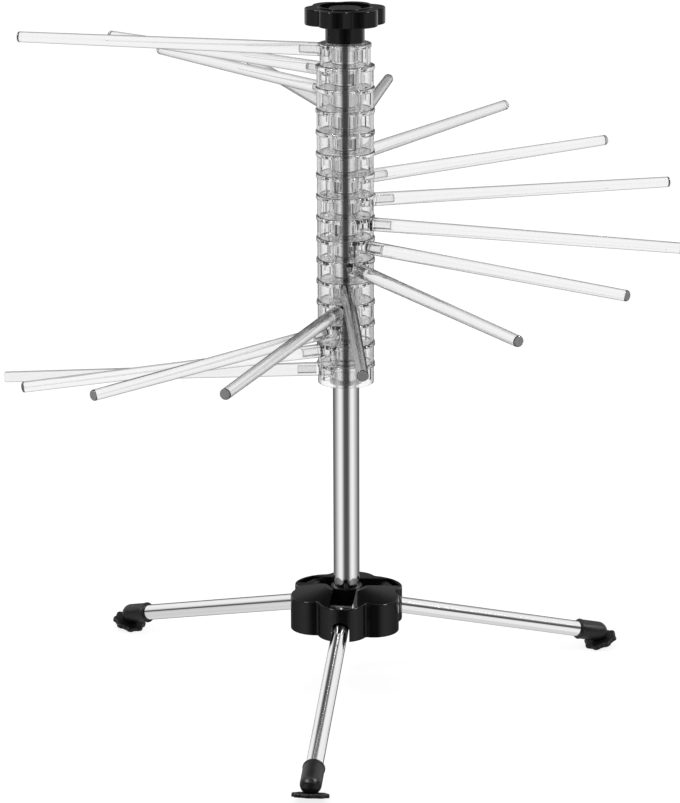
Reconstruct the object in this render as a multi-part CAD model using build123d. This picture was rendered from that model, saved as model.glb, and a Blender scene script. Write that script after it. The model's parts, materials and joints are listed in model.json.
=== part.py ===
from build123d import *
import math
import os

# Pasta drying rack: a steel pole on a folding tripod, with sixteen clear arms that fan out
# round it like a spiral stair and a black knob that clamps them. Millimetres, +Z up.
# The origin is on the floor, on the pole's axis.

# Clearances that several pieces share
press_gap = 0.03
running_gap = 0.06
turning_gap = 0.1
overrun = 2.0

# Arms: the angle of each about the pole, from +X, counted from the top arm down
arm_azimuths = [
    164.5, 136.5, 125.5, 107.5, 82.0, 59.5, 36.5, 15.0,
    -20.5, -40.5, -63.0, -87.5, -108.5, -133.0, -155.0, -175.0,
]
arm_reach = 205.5
rod_root_r = 4.1
rod_tip_r = 3.2
rod_tip_round = 1.0
rod_axis_drop = 4.4
spigot_r = 2.0
spigot_length = 11.0
spigot_end_gap = 0.3

# Arm rings
ring_height = 12.8
ring_flange_r = 17.6
ring_shell_r = 16.9
top_ring_flange_r = 15.6
top_ring_shell_r = 15.0
ring_flange_height = 2.6
ring_shell_wall = 1.4
ring_plate_thickness = 3.0
ring_sleeve_wall = 2.1
ring_sleeve_lift = 3.0
ring_ribs = 6
ring_rib_width = 1.2
ring_edge_round = 0.5
rod_seat_stand = 0.6

# Drag dog under each ring and the curved groove that it runs in
dog_inner_r = 11.2
dog_outer_r = 13.4
dog_height = 1.2
dog_arc = 12.0
dog_travel = 38.0
dog_side_gap = 0.3
dog_end_gap = 0.4
dog_slack_arc = 3.0
dog_behind_arm = 180.0

# Pole
pole_d = 16.0
pole_wall = 1.0
pole_bare_height = 134.1
pole_top_inset = 1.5
stop_collar_wall = 2.0
plug_length = 14.0

# Clamping knob
knob_lobes = 6
knob_lobe_azimuth = -110.5
knob_lobe_r = 11.3
knob_lobe_centre_r = 12.6
knob_valley_round = 0.8
knob_rim_height = 10.0
knob_edge_round = 0.9
knob_neck_r = 11.6
knob_neck_height = 10.4
knob_raised_r = 16.4
knob_raised_height = 0.6
knob_dish_r = 14.6
knob_dish_depth = 2.0
knob_raised_round = 0.3
badge_r = 9.6
badge_thickness = 2.4
badge_stand = 1.1
badge_edge_round = 0.6
stud_r = 4.0
stud_reach = 13.0
stud_sunk = 13.0
stud_head_r = 6.4
stud_head_height = 4.0
washer_wall = 2.9
washer_thickness = 0.6

# Tripod hub
hub_lobes = 6
hub_lobe_r = 15.6
hub_lobe_centre_r = 20.6
hub_valley_round = 1.2
hub_height = 20.9
hub_crown_r = 13.6
hub_crown_rise = 3.8
hub_edge_round = 1.0
hub_floor = 5.4
hub_well_r = 11.0
hub_well_depth = 7.0
hub_roof = 3.6
hub_pit_r = 8.4
hub_pit_centre_r = 23.0
socket_wall = 1.6
socket_below_crown = 0.4
pocket_width = 14.4
pocket_end_wall = 3.0
arch_side_gap = 0.6
arch_top_gap = 0.3

# Base screw, from under the hub into the plug in the pole
screw_r = 2.5
screw_head_r = 4.5
screw_head_height = 2.4
screw_grip = 9.0
screw_washer_r = 5.5
screw_washer_thickness = 0.8
screw_hole_gap = 0.3
screw_recess_gap = 0.4
screw_recess_spare = 0.3

# Legs
leg_count = 3
front_leg_azimuth = -96.7
leg_slope = 15.5
leg_tube_r = 5.0
leg_tube_wall = 0.8
leg_reach = 156.0
leg_drop = 7.4
leg_tube_start = 4.4

# Leg hinge
pin_r = 2.0
pin_length = 20.0
pin_end_gap = 0.2
pin_snap_neck = 3.5
barrel_r = 4.6
barrel_side_gap = 0.4
barrel_end_gap = 0.4
pin_below_edge = 4.8
knuckle_head_back = 4.0
knuckle_web_width = 9.0
knuckle_plug_length = 14.0

# Feet
cap_r = 6.3
cap_sleeve = 15.0
cap_lip_r = 6.6
cap_lip_length = 1.8
cap_lip_round = 0.7
cap_end_cover = 2.0
cap_centre_above_pad = 5.0
pad_tilt = 20.0
pad_lobes = 8
pad_r = 10.9
pad_lobe_r = 2.9
pad_core_r = 9.7
pad_thickness = 2.5
pad_edge_round = 0.9
pad_worn_depth = 0.45
pad_stem_r = 2.6
pad_stem_length = 5.0

# Heights and places that follow, from the floor up
pole_r = pole_d / 2
tilt = math.radians(pad_tilt)
slope = math.radians(leg_slope)
pad_underside_z = pad_r * math.sin(tilt) - pad_worn_depth
cap_centre_z = pad_underside_z + (pad_thickness + cap_centre_above_pad) * math.cos(tilt)
hub_outer_r = hub_lobe_centre_r + hub_lobe_r
pocket_inner_r = pole_r + socket_wall
pocket_outer_r = hub_outer_r - pocket_end_wall
pin_axis_r = pocket_outer_r - barrel_end_gap - barrel_r
pin_z = cap_centre_z + leg_reach * math.sin(slope) + leg_drop * math.cos(slope)
hub_top_z = pin_z + pin_below_edge
hub_crown_z = hub_top_z + hub_crown_rise
hub_bottom_z = hub_top_z - hub_height
pole_bottom_z = hub_bottom_z + hub_floor
stack_bottom_z = hub_top_z + pole_bare_height
ring_pitch = ring_height + turning_gap
stack_top_z = stack_bottom_z + len(arm_azimuths) * ring_pitch - turning_gap
pole_top_z = stack_top_z - pole_top_inset
washer_z = stack_top_z + turning_gap
knob_z = washer_z + washer_thickness
leg_root_r = pin_axis_r - leg_drop * math.sin(slope)
leg_root_z = pin_z - leg_drop * math.cos(slope)
leg_tube_end = leg_reach - cap_end_cover
stop_collar_height = ring_sleeve_lift - turning_gap


def disc(radius, low, high):
    """A round bar on the Z axis between two heights."""
    return Pos(0, 0, low) * Cylinder(radius, high - low, align=(Align.CENTER, Align.CENTER, Align.MIN))


def pipe(outer, inner, low, high):
    return disc(outer, low, high) - disc(inner, low - overrun, high + overrun)


def block(x_low, x_high, width, low, high):
    """A box that is centred across Y."""
    size = Box(x_high - x_low, width, high - low, align=(Align.MIN, Align.CENTER, Align.MIN))
    return Pos(x_low, 0, low) * size


def outward_bar(radius, x_low, x_high, height):
    """A round bar along +X at a height."""
    bar = Cylinder(radius, x_high - x_low, align=(Align.CENTER, Align.CENTER, Align.MIN))
    return Pos(x_low, 0, height) * Rot(0, 90, 0) * bar


def sector(inner, outer, low, high, start, arc):
    """Part of a flat ring, from the start angle over an arc, in degrees."""
    section = Plane.XZ * Pos((inner + outer) / 2, (low + high) / 2) * Rectangle(outer - inner, high - low)
    return Rot(0, 0, start) * revolve(section, Axis.Z, arc)


def scalloped(core, lobe, centre, count, valley_round):
    """A round plate's outline with lobes round it. The first lobe points along +X."""
    outline = Circle(core)
    for index in range(count):
        angle = math.radians(index * 360 / count)
        outline += Pos(centre * math.cos(angle), centre * math.sin(angle)) * Circle(lobe)
    if valley_round > 0:
        outline = fillet(outline.vertices(), valley_round)
    return outline


def top_edges(solid):
    return solid.faces().sort_by(Axis.Z)[-1].edges()


def bottom_edges(solid):
    return solid.faces().sort_by(Axis.Z)[0].edges()


def rod_seat(flange):
    return flange + rod_seat_stand


def arm_ring(flange, shell, has_dog, has_groove):
    """One clear ring with its bottom at z = 0 and its arm's spigot along +X."""
    plate_z = ring_height - ring_plate_thickness
    bore = pole_r + running_gap
    sleeve = bore + ring_sleeve_wall
    axis_z = ring_height - rod_axis_drop
    body = disc(shell, 0, ring_height)
    body = fillet(bottom_edges(body), ring_edge_round)
    collar = disc(flange, ring_height - ring_flange_height, ring_height)
    collar = fillet(collar.edges().filter_by(GeomType.CIRCLE), ring_edge_round)
    body += collar
    body -= pipe(shell - ring_shell_wall, sleeve, -overrun, plate_z)
    body -= disc(shell - ring_shell_wall, -overrun, ring_sleeve_lift)
    for index in range(ring_ribs):
        rib = block(bore, shell - ring_shell_wall / 2, ring_rib_width, ring_sleeve_lift, plate_z + press_gap)
        body += Rot(0, 0, (index + 0.5) * 360 / ring_ribs) * rib
    body += outward_bar(rod_root_r, bore, rod_seat(flange), axis_z)
    body += outward_bar(spigot_r, bore, rod_seat(flange) + spigot_length, axis_z)
    if has_dog:
        body += sector(
            dog_inner_r, dog_outer_r, -dog_height, plate_z + press_gap, dog_behind_arm - dog_arc / 2, dog_arc
        )
    if has_groove:
        depth = dog_height - turning_gap + dog_end_gap
        slack = dog_arc / 2 + dog_slack_arc
        body -= sector(
            dog_inner_r - dog_side_gap,
            dog_outer_r + dog_side_gap,
            ring_height - depth,
            ring_height + overrun,
            dog_behind_arm - slack,
            dog_travel + 2 * slack,
        )
    return body - disc(bore, -overrun, ring_height + overrun)


def arm_rod(flange):
    """One tapered clear rod along +X, with the blind hole that plugs on the ring's spigot."""
    axis_z = ring_height - rod_axis_drop
    seat = rod_seat(flange)
    taper = Cone(rod_root_r, rod_tip_r, arm_reach - seat, align=(Align.CENTER, Align.CENTER, Align.MIN))
    rod = Pos(seat, 0, axis_z) * Rot(0, 90, 0) * taper
    rod = fillet(rod.faces().sort_by(Axis.X)[-1].edges(), rod_tip_round)
    hole_end = seat + spigot_length + spigot_end_gap
    return rod - outward_bar(spigot_r + press_gap, seat - overrun, hole_end, axis_z)


def pole_tube():
    return pipe(pole_r, pole_r - pole_wall, pole_bottom_z, pole_top_z)


def top_nut():
    """The threaded plug pressed into the pole's upper end."""
    plug_r = pole_r - pole_wall - press_gap
    return pipe(plug_r, stud_r + running_gap, pole_top_z - plug_length, pole_top_z)


def bottom_plug():
    """The threaded plug pressed into the pole's lower end."""
    plug_r = pole_r - pole_wall - press_gap
    return pipe(plug_r, screw_r + press_gap, pole_bottom_z, pole_bottom_z + plug_length)


def stop_collar():
    """The collar pressed on the pole that the lowest ring's sleeve rests on."""
    low = stack_bottom_z
    return pipe(pole_r + stop_collar_wall, pole_r + press_gap, low, low + stop_collar_height)


def clamp_washer():
    bore = pole_r + running_gap
    return pipe(bore + washer_wall, bore, washer_z, washer_z + washer_thickness)


def knob_stud():
    """The threaded stud with its moulded-in head."""
    head_z = knob_z + stud_sunk
    shank = disc(stud_r, knob_z - stud_reach, head_z)
    return shank + disc(stud_head_r, head_z, head_z + stud_head_height)


def knob_dish_z():
    return knob_z + knob_neck_height + knob_rim_height + knob_raised_height - knob_dish_depth


def knob_body():
    rim_z = knob_z + knob_neck_height
    outline = scalloped(knob_lobe_centre_r, knob_lobe_r, knob_lobe_centre_r, knob_lobes, knob_valley_round)
    rim = Pos(0, 0, rim_z) * extrude(outline, amount=knob_rim_height)
    rim = fillet(top_edges(rim) + bottom_edges(rim), knob_edge_round)
    rim = Rot(0, 0, knob_lobe_azimuth) * rim
    raised_top = rim_z + knob_rim_height + knob_raised_height
    raised = disc(knob_raised_r, rim_z + knob_rim_height / 2, raised_top)
    raised = fillet(top_edges(raised), knob_raised_round)
    knob = rim + raised + disc(knob_neck_r, knob_z, rim_z + knob_rim_height / 2)
    knob -= disc(knob_dish_r, knob_dish_z(), raised_top + overrun)
    knob -= disc(badge_r + press_gap, knob_dish_z() - badge_thickness + badge_stand, raised_top)
    head_z = knob_z + stud_sunk
    knob -= disc(stud_r + press_gap, knob_z - overrun, head_z)
    knob -= disc(stud_head_r + press_gap, head_z, head_z + stud_head_height + press_gap)
    return knob


def knob_badge():
    """The plain round insert in the knob's dish."""
    top = knob_dish_z() + badge_stand
    badge = disc(badge_r, top - badge_thickness, top)
    return fillet(top_edges(badge), badge_edge_round)


def hub_body():
    """The six-lobed hub with its first leg pocket along +X."""
    high = hub_crown_z + overrun
    low = hub_bottom_z - overrun
    outline = scalloped(hub_lobe_centre_r, hub_lobe_r, hub_lobe_centre_r, hub_lobes, hub_valley_round)
    hub = Pos(0, 0, hub_bottom_z) * extrude(outline, amount=hub_height + hub_crown_rise)
    hub = hub & crown()
    hub = fillet(hub.faces().filter_by(GeomType.CONE).edges() - top_edges(hub), hub_edge_round)
    well_z = hub_crown_z - hub_well_depth
    well = Rot(0, 0, 180 / hub_lobes) * RegularPolygon(hub_well_r, hub_lobes, major_radius=False)
    well = Pos(0, 0, well_z) * extrude(well, amount=hub_well_depth + overrun)
    hub -= well - disc(pole_r + socket_wall, well_z - overrun, hub_crown_z - socket_below_crown)
    hub -= disc(pole_r + press_gap, pole_bottom_z, high)
    for index in range(leg_count):
        turn = Rot(0, 0, index * 360 / leg_count)
        hub -= turn * leg_pocket(low, high)
        pit = Pos(hub_pit_centre_r, 0) * disc(hub_pit_r, low, hub_top_z - hub_roof)
        hub -= turn * Rot(0, 0, 180 / leg_count) * pit
    hub -= disc(screw_r + screw_hole_gap, low, high)
    recess = screw_head_height + screw_washer_thickness + screw_recess_spare
    hub -= disc(screw_washer_r + screw_recess_gap, low, hub_bottom_z + recess)
    return hub


def crown():
    """The shallow cone that the hub's top rises to round the pole, down to the hub's underside."""
    skirt = disc(hub_outer_r, hub_bottom_z, hub_top_z)
    cone = Cone(hub_outer_r, hub_crown_r, hub_crown_rise, align=(Align.CENTER, Align.CENTER, Align.MIN))
    return skirt + Pos(0, 0, hub_top_z) * cone


def leg_pocket(low, high):
    """What is cut from a leg lobe: the open pocket, the arch for the leg and the pin's seat."""
    arch_r = leg_tube_r + arch_side_gap
    rise = leg_tube_r / math.cos(slope) - (pocket_outer_r - leg_root_r) * math.tan(slope)
    arch_centre_z = leg_root_z + rise + arch_top_gap - arch_r
    arch_inner = pocket_outer_r - overrun
    arch_outer = hub_outer_r + overrun
    cut = block(pocket_inner_r, pocket_outer_r, pocket_width, low, high)
    cut += block(arch_inner, arch_outer, 2 * arch_r, low, arch_centre_z)
    cut += outward_bar(arch_r, arch_inner, arch_outer, arch_centre_z)
    seat_length = pin_length + 2 * pin_end_gap
    seat = Pos(pin_axis_r, 0, pin_z) * Rot(90, 0, 0) * Cylinder(pin_r + press_gap, seat_length)
    neck = block(pin_axis_r - pin_snap_neck / 2, pin_axis_r + pin_snap_neck / 2, seat_length, low, pin_z)
    return cut + seat + neck


def base_screw():
    head_top = hub_bottom_z + screw_recess_spare + screw_head_height
    screw = disc(screw_head_r, head_top - screw_head_height, head_top)
    screw += disc(screw_r, head_top, pole_bottom_z + screw_grip)
    socket = Pos(0, 0, head_top - screw_head_height) * RegularPolygon(screw_r, hub_lobes)
    return screw - extrude(socket, amount=screw_head_height / 2)


def screw_washer():
    low = hub_bottom_z + screw_recess_spare + screw_head_height
    return pipe(screw_washer_r, screw_r + press_gap, low, low + screw_washer_thickness)


def hinge_pin():
    return Pos(pin_axis_r, 0, pin_z) * Rot(90, 0, 0) * Cylinder(pin_r, pin_length)


def along_leg():
    """The leg's own frame: Z runs down the leg from its root and X points down from it."""
    return Pos(leg_root_r, 0, leg_root_z) * Rot(0, 90 + leg_slope, 0)


def leg_tube():
    return along_leg() * pipe(leg_tube_r, leg_tube_r - leg_tube_wall, leg_tube_start, leg_tube_end)


def leg_knuckle():
    """The plug in the leg's upper end, with the barrel that turns on the hinge pin."""
    plug_end = leg_tube_start + knuckle_plug_length
    head = disc(leg_tube_r, -knuckle_head_back, leg_tube_start)
    head += disc(leg_tube_r - leg_tube_wall - press_gap, leg_tube_start, plug_end)
    web_back = -knuckle_head_back
    web = Pos(-leg_drop, 0, web_back) * Box(
        leg_drop, knuckle_web_width, 2 * knuckle_head_back, align=(Align.MIN, Align.CENTER, Align.MIN)
    )
    web = web & disc(leg_drop + leg_tube_r, web_back, leg_tube_start)
    barrel_width = pocket_width - 2 * barrel_side_gap
    at_pin = Pos(-leg_drop, 0, 0) * Rot(90, 0, 0)
    knuckle = head + web + at_pin * Cylinder(barrel_r, barrel_width)
    knuckle -= at_pin * Cylinder(pin_r + running_gap, barrel_width + 2 * overrun)
    return along_leg() * knuckle


def pad_place():
    """The pad's own frame: its top face is z = 0 there and Z points up through the cap."""
    centre_r = leg_root_r + leg_reach * math.cos(slope) + cap_centre_above_pad * math.sin(tilt)
    centre_z = cap_centre_z - cap_centre_above_pad * math.cos(tilt)
    return Pos(centre_r, 0, centre_z) * Rot(0, -pad_tilt, 0)


def foot_cap():
    """The rounded cap on the leg's end, cut flat where it sits on its pad."""
    mouth = leg_reach - cap_sleeve
    cap = disc(cap_r, mouth, leg_reach) + Pos(0, 0, leg_reach) * Sphere(cap_r)
    lip = disc(cap_lip_r, mouth, mouth + cap_lip_length)
    cap += fillet(lip.edges().filter_by(GeomType.CIRCLE), cap_lip_round)
    cap -= disc(leg_tube_r + press_gap, mouth - overrun, leg_tube_end + press_gap)
    cap = along_leg() * cap
    cap -= pad_place() * block(-2 * pad_r, 2 * pad_r, 2 * pad_r, -2 * cap_r, 0)
    return cap - pad_place() * disc(pad_stem_r + press_gap, -overrun, pad_stem_length + press_gap)


def foot_pad():
    """The scalloped rubber pad with the stem that holds it in the cap."""
    outline = scalloped(pad_core_r, pad_lobe_r, pad_r - pad_lobe_r, pad_lobes, 0)
    pad = Pos(0, 0, -pad_thickness) * extrude(outline, amount=pad_thickness)
    pad = fillet(top_edges(pad), pad_edge_round)
    pad += disc(pad_stem_r, -pad_thickness / 2, pad_stem_length)
    pad = pad_place() * pad
    far = pad_place().position.X + 2 * pad_r
    return pad - block(0, far, 2 * far, -2 * pad_r, 0)


def save(name, shape):
    export_step(shape, "parts/" + name + ".step")


def save_arms():
    last = len(arm_azimuths) - 1
    for index, azimuth in enumerate(arm_azimuths):
        flange = top_ring_flange_r if index == 0 else ring_flange_r
        shell = top_ring_shell_r if index == 0 else ring_shell_r
        low = stack_bottom_z + (last - index) * ring_pitch
        place = Pos(0, 0, low) * Rot(0, 0, azimuth)
        number = f"{index + 1:02d}"
        save("arm_ring_" + number, place * arm_ring(flange, shell, index < last, index > 0))
        save("arm_rod_" + number, place * arm_rod(flange))


def save_legs():
    for name, index in (("front", 0), ("right", 1), ("left", 2)):
        turn = Rot(0, 0, front_leg_azimuth + index * 360 / leg_count)
        save("hinge_pin_" + name, turn * hinge_pin())
        save("leg_tube_" + name, turn * leg_tube())
        save("leg_knuckle_" + name, turn * leg_knuckle())
        save("foot_cap_" + name, turn * foot_cap())
        save("foot_pad_" + name, turn * foot_pad())


os.makedirs("parts", exist_ok=True)
save_arms()
save_legs()
save("pole_tube", pole_tube())
save("top_nut", top_nut())
save("bottom_plug", bottom_plug())
save("stop_collar", stop_collar())
save("clamp_washer", clamp_washer())
save("knob_body", knob_body())
save("knob_stud", knob_stud())
save("knob_badge", knob_badge())
save("tripod_hub", Rot(0, 0, front_leg_azimuth) * hub_body())
save("base_screw", base_screw())
save("screw_washer", screw_washer())
print("pin radius", round(pin_axis_r, 3), "pin height", round(pin_z, 3))
print("hub", round(hub_bottom_z, 2), round(hub_top_z, 2), "stack", round(stack_bottom_z, 2), round(stack_top_z, 2))
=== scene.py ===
import json
import math

import bpy
from mathutils import Matrix, Vector

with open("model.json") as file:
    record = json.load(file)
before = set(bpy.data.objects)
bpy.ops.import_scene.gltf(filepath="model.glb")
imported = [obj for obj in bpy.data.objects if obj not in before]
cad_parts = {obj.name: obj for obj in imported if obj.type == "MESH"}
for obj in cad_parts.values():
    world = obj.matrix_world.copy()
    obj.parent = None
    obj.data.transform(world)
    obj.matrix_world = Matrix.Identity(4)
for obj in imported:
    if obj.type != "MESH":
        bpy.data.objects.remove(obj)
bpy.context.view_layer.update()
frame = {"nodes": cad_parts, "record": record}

# Metres, degrees and watts. Light levels are linear, and 1 is white.

# The photograph's frame and the focal length in pixels, and the camera that was fitted to it
image_width = 680
image_height = 803
focal_px = 2918.0
sensor_mm = 36.0
camera_place = (0.0, -1.704, 0.673)
camera_pitch = 15.97
camera_yaw = 0.124
camera_roll = -0.205

# The even light on the object, and the white floor under it
fill_level = 0.62
floor_size = 40.0
floor_diffuse = 0.34
floor_glow = 0.82

# Two soft lamps: their places and watts
lamp_size = 0.18
lamp_aim = (0.0, 0.0, 0.2)
lamps = {
    "left": ((-1.19, -0.63, 1.5), 3.5),
    "right": ((1.32, -0.48, 1.5), 3.0),
}

# What polished steel and black plastic mirror round them: levels by the angle from the
# photograph's side. They follow each other from far below the horizon, through just below it and
# just above it, to high up.
low_surround = (
    (0.0, 0.085),
    (15.0, 0.095),
    (27.0, 0.36),
    (38.0, 0.82),
    (56.0, 0.98),
    (66.0, 0.90),
    (81.0, 0.66),
    (100.0, 0.40),
    (120.0, 0.19),
    (150.0, 0.10),
    (180.0, 0.10),
)
lower_surround = (
    (0.0, 0.085),
    (24.0, 0.25),
    (42.0, 0.90),
    (81.0, 0.66),
    (108.0, 0.45),
    (134.0, 0.95),
    (158.0, 0.95),
    (167.0, 0.10),
    (180.0, 0.10),
)
horizon_surround = (
    (0.0, 0.05),
    (40.0, 0.07),
    (110.0, 0.10),
    (136.0, 0.90),
    (156.0, 0.90),
    (165.0, 0.10),
    (180.0, 0.10),
)
crown_surround = (
    (0.0, 0.05),
    (40.0, 0.07),
    (85.0, 0.20),
    (100.0, 0.85),
    (152.0, 0.98),
    (164.0, 0.35),
    (180.0, 0.35),
)
high_surround = (
    (0.0, 0.07),
    (24.0, 0.30),
    (48.0, 0.95),
    (142.0, 0.95),
    (157.0, 0.08),
    (180.0, 0.04),
)

# Between which heights above the horizon each one takes over, and then the even zenith and nadir
mirrored_layers = (
    ((-14.0, -11.0), lower_surround),
    ((-1.0, 5.0), horizon_surround),
    ((13.0, 17.0), crown_surround),
    ((23.0, 36.0), high_surround),
)
mirrored_ends = (
    ((62.0, 80.0), 0.85),
    ((-38.0, -60.0), 0.72),
)

# Glints in what is mirrored: azimuth and height, brightest within the core, gone at the reach
glints = ((-150.0, 45.0), (-20.0, 45.0))
glint_core = 5.6
glint_reach = 8.0
glint_level = 30.0

# What shows through the clear plastic, and its zenith and nadir
through_surround = (
    (0.0, 1.0),
    (54.0, 1.0),
    (72.0, 0.85),
    (108.0, 0.85),
    (126.0, 1.0),
    (180.0, 1.0),
)
through_ends = (
    ((38.0, 54.0), 0.6),
    ((-44.0, -60.0), 0.6),
)

# What is mirrored inside the clear plastic, and by the pole in it, and its zenith and nadir
inside_surround = (
    (0.0, 0.06),
    (16.0, 0.08),
    (30.0, 0.50),
    (44.0, 0.92),
    (70.0, 0.80),
    (90.0, 0.40),
    (110.0, 0.80),
    (180.0, 0.90),
)
inside_ends = (
    ((40.0, 58.0), 0.5),
    ((-46.0, -62.0), 0.4),
)

# Clear plastic: the light that it passes, less at its edges as painted shade that draws dark
# outlines, where facing goes from 0 to 1
plastic_ior = 1.49
edge_facing = (0.45, 0.85)
painted_outline_clearness = 0.18
# How much of the rods' sawn tips is frosted, and between which distances from the pole's axis
frost_share = 0.4
rod_tip_frosted = (0.2051, 0.2054)
clears = {
    "ring_clear": {"clearness": 0.98, "roughness": 0.03},
    "rod_clear": {"clearness": 0.92, "roughness": 0.04, "frosted": rod_tip_frosted},
}

# Steel: the noise is drawn out along Z to lines
line_scale = (900.0, 900.0, 12.0)
steel_blueness = 1.01
steels = {
    "pole_steel": {"level": 0.9, "roughness": 0.08},
    "leg_steel": {"level": 0.9, "roughness": 0.1},
    "pin_steel": {"level": 0.9, "roughness": 0.12},
    "fastener_steel": {"level": 0.6, "roughness": 0.3},
}

# Moulded black: the swirl's two values, and the share of the level at each
swirl_shares = ((0.3, 0.8), (0.7, 1.3))
blacks = {
    "knob_black": {"level": 0.004, "roughness": 0.08, "gloss": 0.24, "grain": 0.02},
    "hub_black": {"level": 0.004, "roughness": 0.08, "gloss": 0.27, "grain": 0.02},
    "knuckle_black": {"level": 0.006, "roughness": 0.3, "gloss": 0.4, "grain": 0.1},
    "foot_rubber": {"level": 0.008, "roughness": 0.36, "gloss": 0.4, "grain": 0.15},
}


def grey(level):
    return (level, level, level, 1.0)


class Nodes:
    """A node tree with short calls for adding and linking nodes."""

    def __init__(self, tree):
        self.tree = tree
        tree.nodes.clear()

    def add(self, kind, inputs=None, **settings):
        node = self.tree.nodes.new("ShaderNode" + kind)
        for name, value in settings.items():
            setattr(node, name, value)
        for name, value in (inputs or {}).items():
            self.put(node, name, value)
        return node

    def put(self, node, name, value):
        socket = node.inputs[name]
        if isinstance(value, bpy.types.NodeSocket):
            self.tree.links.new(value, socket)
        else:
            socket.default_value = value

    def maths(self, operation, first, second=0.0):
        return self.add("Math", {0: first, 1: second}, operation=operation).outputs[0]

    def ramp(self, factor, stops, interpolation="LINEAR"):
        node = self.add("ValToRGB", {"Fac": factor})
        elements = node.color_ramp.elements
        node.color_ramp.interpolation = interpolation
        while len(elements) < len(stops):
            elements.new(0.5)
        for element, (place, level) in zip(elements, stops):
            element.position = place
            element.color = grey(level)
        return node.outputs["Color"]

    def spread(self, value, middle, least, most):
        """From least to most times the middle, as the value goes from 0 to 1."""
        ends = {"Value": value, "To Min": middle * least, "To Max": middle * most}
        return self.add("MapRange", ends).outputs["Result"]

    def step(self, value, start, end):
        """0 before start and 1 past end, with a smooth rise between them."""
        node = self.add("MapRange", {"Value": value, "From Min": start, "From Max": end})
        node.interpolation_type = "SMOOTHSTEP"
        return node.outputs["Result"]

    def blend(self, factor, first, second):
        """First where the factor is 0 and second where it is 1."""
        return self.add("Mix", {0: factor, 2: first, 3: second}).outputs[0]

    def flat(self, vector):
        """The vector without its Z."""
        parts = self.add("SeparateXYZ", {0: vector}).outputs
        return self.add("CombineXYZ", {"X": parts["X"], "Y": parts["Y"]}).outputs[0]

    def noise(self, place, scale, detail):
        inputs = {"Vector": place, "Scale": scale, "Detail": detail}
        return self.add("TexNoise", inputs).outputs["Fac"]

    def bump(self, height, strength, distance):
        inputs = {"Height": height, "Strength": strength, "Distance": distance}
        return self.add("Bump", inputs).outputs[0]

    def happened(self, depth):
        """1 where a ray's count of bounces of one kind isn't 0."""
        return self.maths("GREATER_THAN", depth, 0.5)

    def glossy_or_through(self, rays):
        """1 for a ray that a surface mirrors or lets through."""
        outputs = rays.outputs
        return self.maths("MAXIMUM", outputs["Is Glossy Ray"], outputs["Is Transmission Ray"])


def new_material(name):
    material = bpy.data.materials.new(name)
    material.use_nodes = True
    return material, Nodes(material.node_tree)


def set_camera():
    data = bpy.data.cameras.new("camera")
    camera = bpy.data.objects.new("camera", data)
    bpy.context.scene.collection.objects.link(camera)
    data.sensor_fit = "AUTO"
    data.sensor_width = sensor_mm
    data.lens = focal_px / max(image_width, image_height) * sensor_mm
    turn = Matrix.Rotation(math.radians(camera_yaw), 4, "Z")
    turn = turn @ Matrix.Rotation(math.radians(90 - camera_pitch), 4, "X")
    turn = turn @ Matrix.Rotation(math.radians(camera_roll), 4, "Z")
    camera.matrix_world = Matrix.Translation(camera_place) @ turn
    bpy.context.scene.camera = camera


def direction_to(azimuth, height):
    azimuth, height = math.radians(azimuth), math.radians(height)
    return (
        math.cos(height) * math.cos(azimuth),
        math.cos(height) * math.sin(azimuth),
        math.sin(height),
    )


def set_world():
    """White for the camera, and a surrounding of its own for each kind of ray from the object."""
    world = bpy.data.worlds.new("studio")
    bpy.context.scene.world = world
    world.use_nodes = True
    nodes = Nodes(world.node_tree)
    direction = nodes.add("TexCoord").outputs["Generated"]
    level_way = nodes.add("VectorMath", {0: nodes.flat(direction)}, operation="NORMALIZE")
    forward = nodes.add("SeparateXYZ", {0: level_way.outputs[0]}).outputs["Y"]
    away = nodes.maths("ARCCOSINE", nodes.maths("MULTIPLY", forward, -1.0))
    share = nodes.maths("DIVIDE", away, math.pi)
    rise = nodes.maths("ARCSINE", nodes.add("SeparateXYZ", {0: direction}).outputs["Z"])
    height = nodes.maths("MULTIPLY", rise, 180.0 / math.pi)

    def round_ramp(stops):
        return nodes.ramp(share, [(angle / 180.0, level) for angle, level in stops], "EASE")

    def surround(lowest, layers, ends):
        level = round_ramp(lowest)
        for heights, stops in layers:
            level = nodes.blend(nodes.step(height, *heights), level, round_ramp(stops))
        for heights, end_level in ends:
            level = nodes.blend(nodes.step(height, *heights), level, end_level)
        return level

    mirrored = surround(low_surround, mirrored_layers, mirrored_ends)
    core, reach = math.cos(math.radians(glint_core)), math.cos(math.radians(glint_reach))
    for azimuth, glint_height in glints:
        vectors = {0: direction, 1: direction_to(azimuth, glint_height)}
        near = nodes.add("VectorMath", vectors, operation="DOT_PRODUCT").outputs["Value"]
        mirrored = nodes.blend(nodes.step(near, reach, core), mirrored, glint_level)
    through = surround(through_surround, (), through_ends)
    inside = surround(inside_surround, (), inside_ends)

    rays = nodes.add("LightPath")
    in_plastic = nodes.happened(rays.outputs["Transmission Depth"])
    mirrored = nodes.blend(in_plastic, mirrored, inside)
    has_mirrored = nodes.happened(rays.outputs["Glossy Depth"])
    seen = nodes.blend(has_mirrored, through, mirrored)
    level = nodes.blend(nodes.glossy_or_through(rays), fill_level, seen)
    level = nodes.blend(rays.outputs["Is Camera Ray"], level, 1.0)
    light = nodes.add("Background", {"Color": grey(1.0), "Strength": level})
    nodes.add("OutputWorld", {"Surface": light.outputs[0]})


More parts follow.
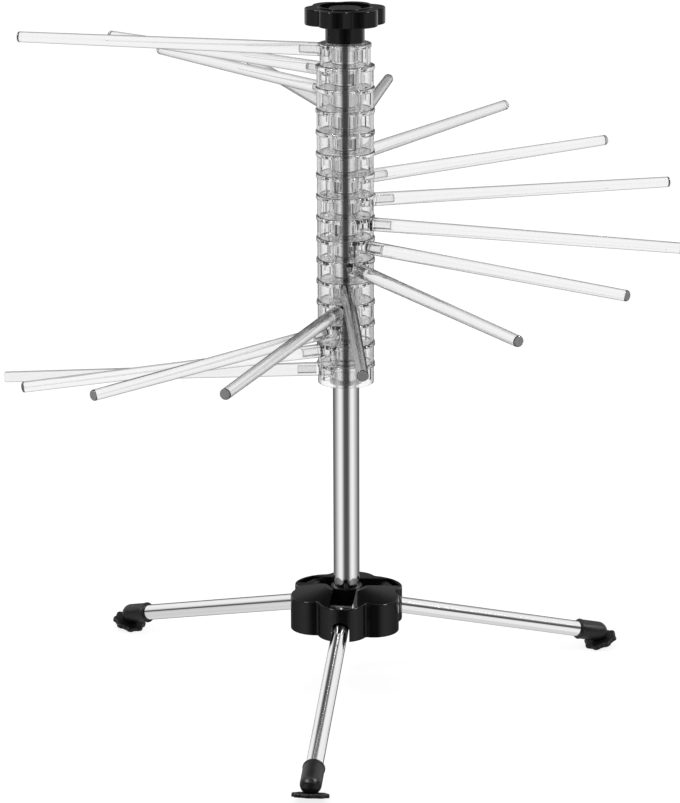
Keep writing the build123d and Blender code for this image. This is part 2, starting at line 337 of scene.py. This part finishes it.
def add_floor():
    """A floor that takes shadows and glows for the camera, and isn't there for mirrored rays."""
    mesh = bpy.data.meshes.new("floor")
    half = floor_size / 2
    corners = [(-half, -half, 0.0), (half, -half, 0.0), (half, half, 0.0), (-half, half, 0.0)]
    mesh.from_pydata(corners, [], [(0, 1, 2, 3)])
    floor = bpy.data.objects.new("floor", mesh)
    bpy.context.scene.collection.objects.link(floor)
    material, nodes = new_material("floor")
    rays = nodes.add("LightPath")
    paper = nodes.add("BsdfDiffuse", {"Color": grey(floor_diffuse)})
    glow_level = nodes.maths("MULTIPLY", rays.outputs["Is Camera Ray"], floor_glow)
    glow = nodes.add("Emission", {"Color": grey(1.0), "Strength": glow_level})
    lit = nodes.add("AddShader", {0: paper.outputs[0], 1: glow.outputs[0]})
    clear = nodes.add("BsdfTransparent")
    mirror = nodes.glossy_or_through(rays)
    mix = nodes.add("MixShader", {0: mirror, 1: lit.outputs[0], 2: clear.outputs[0]})
    nodes.add("OutputMaterial", {"Surface": mix.outputs[0]})
    mesh.materials.append(material)


def add_lamp(name, place, watts):
    data = bpy.data.lights.new(name, "AREA")
    data.size = lamp_size
    data.energy = watts
    lamp = bpy.data.objects.new(name, data)
    bpy.context.scene.collection.objects.link(lamp)
    lamp.location = place
    aim = Vector(lamp_aim) - Vector(place)
    lamp.rotation_euler = aim.to_track_quat("-Z", "Y").to_euler()


def clear_plastic(name, clearness, roughness, frosted=None):
    """Clear, with painted shade darkening it where the surface turns edge-on, and frosted past a
    distance.
    """
    material, nodes = new_material(name)
    place = nodes.add("TexCoord").outputs["Object"]
    waves = nodes.noise(place, scale=60.0, detail=2.0)
    smears = nodes.noise(place, scale=35.0, detail=4.0)
    facing = nodes.add("LayerWeight", {"Blend": 0.5}).outputs["Facing"]
    surface = nodes.add("BsdfPrincipled", {
        # Base Color carries painted shade: a darker tint where the surface is seen edge-on, which
        # draws dark outlines
        "Base Color": nodes.ramp(facing, list(zip(edge_facing, (clearness, painted_outline_clearness)))),
        "Roughness": nodes.spread(smears, roughness, least=0.5, most=1.5),
        "IOR": plastic_ior,
        "Transmission Weight": 1.0,
        "Normal": nodes.bump(waves, strength=0.05, distance=0.0004),
    })
    if frosted:
        vectors = {0: nodes.flat(place)}
        distance = nodes.add("VectorMath", vectors, operation="LENGTH").outputs["Value"]
        frost = nodes.maths("MULTIPLY", nodes.step(distance, *frosted), frost_share)
        nodes.put(surface, "Transmission Weight", nodes.maths("SUBTRACT", 1.0, frost))
    nodes.add("OutputMaterial", {"Surface": surface.outputs[0]})
    return material


def polished_steel(name, level, roughness):
    """Steel with faint lines along Z, and smudges that make them rougher."""
    material, nodes = new_material(name)
    place = nodes.add("TexCoord").outputs["Object"]
    stretched = nodes.add("Mapping", {"Vector": place, "Scale": line_scale}).outputs[0]
    lines = nodes.noise(stretched, scale=1.0, detail=3.0)
    smudges = nodes.noise(place, scale=28.0, detail=3.0)
    wear = nodes.maths("MULTIPLY", lines, smudges)
    surface = nodes.add("BsdfPrincipled", {
        "Base Color": (level, level, level * steel_blueness, 1.0),
        "Metallic": 1.0,
        "Roughness": nodes.spread(wear, roughness, least=0.7, most=1.6),
        "Normal": nodes.bump(lines, strength=0.012, distance=0.0001),
    })
    nodes.add("OutputMaterial", {"Surface": surface.outputs[0]})
    return material


def moulded_black(name, level, roughness, gloss, grain):
    """Black plastic or rubber with a fine grain, and faint swirls in colour and roughness."""
    material, nodes = new_material(name)
    place = nodes.add("TexCoord").outputs["Object"]
    texture = nodes.noise(place, scale=900.0, detail=3.0)
    swirl = nodes.noise(place, scale=40.0, detail=4.0)
    colours = [(value, level * share) for value, share in swirl_shares]
    surface = nodes.add("BsdfPrincipled", {
        "Base Color": nodes.ramp(swirl, colours),
        "Roughness": nodes.spread(swirl, roughness, least=0.7, most=1.4),
        "Specular IOR Level": gloss,
        "Normal": nodes.bump(texture, strength=grain, distance=0.0001),
    })
    nodes.add("OutputMaterial", {"Surface": surface.outputs[0]})
    return material


def dress_nodes():
    materials = {}
    for looks, make in ((steels, polished_steel), (clears, clear_plastic), (blacks, moulded_black)):
        materials.update({name: make(name, **look) for name, look in looks.items()})
    for part in frame["record"]["subparts"]:
        mesh = frame["nodes"][part["node"]].data
        mesh.materials.clear()
        mesh.materials.append(materials[part["material_slot"]])


set_camera()
set_world()
add_floor()
for lamp_name, (lamp_place, lamp_watts) in lamps.items():
    add_lamp(lamp_name, lamp_place, lamp_watts)
dress_nodes()
bpy.context.scene.view_settings.view_transform = "Standard"
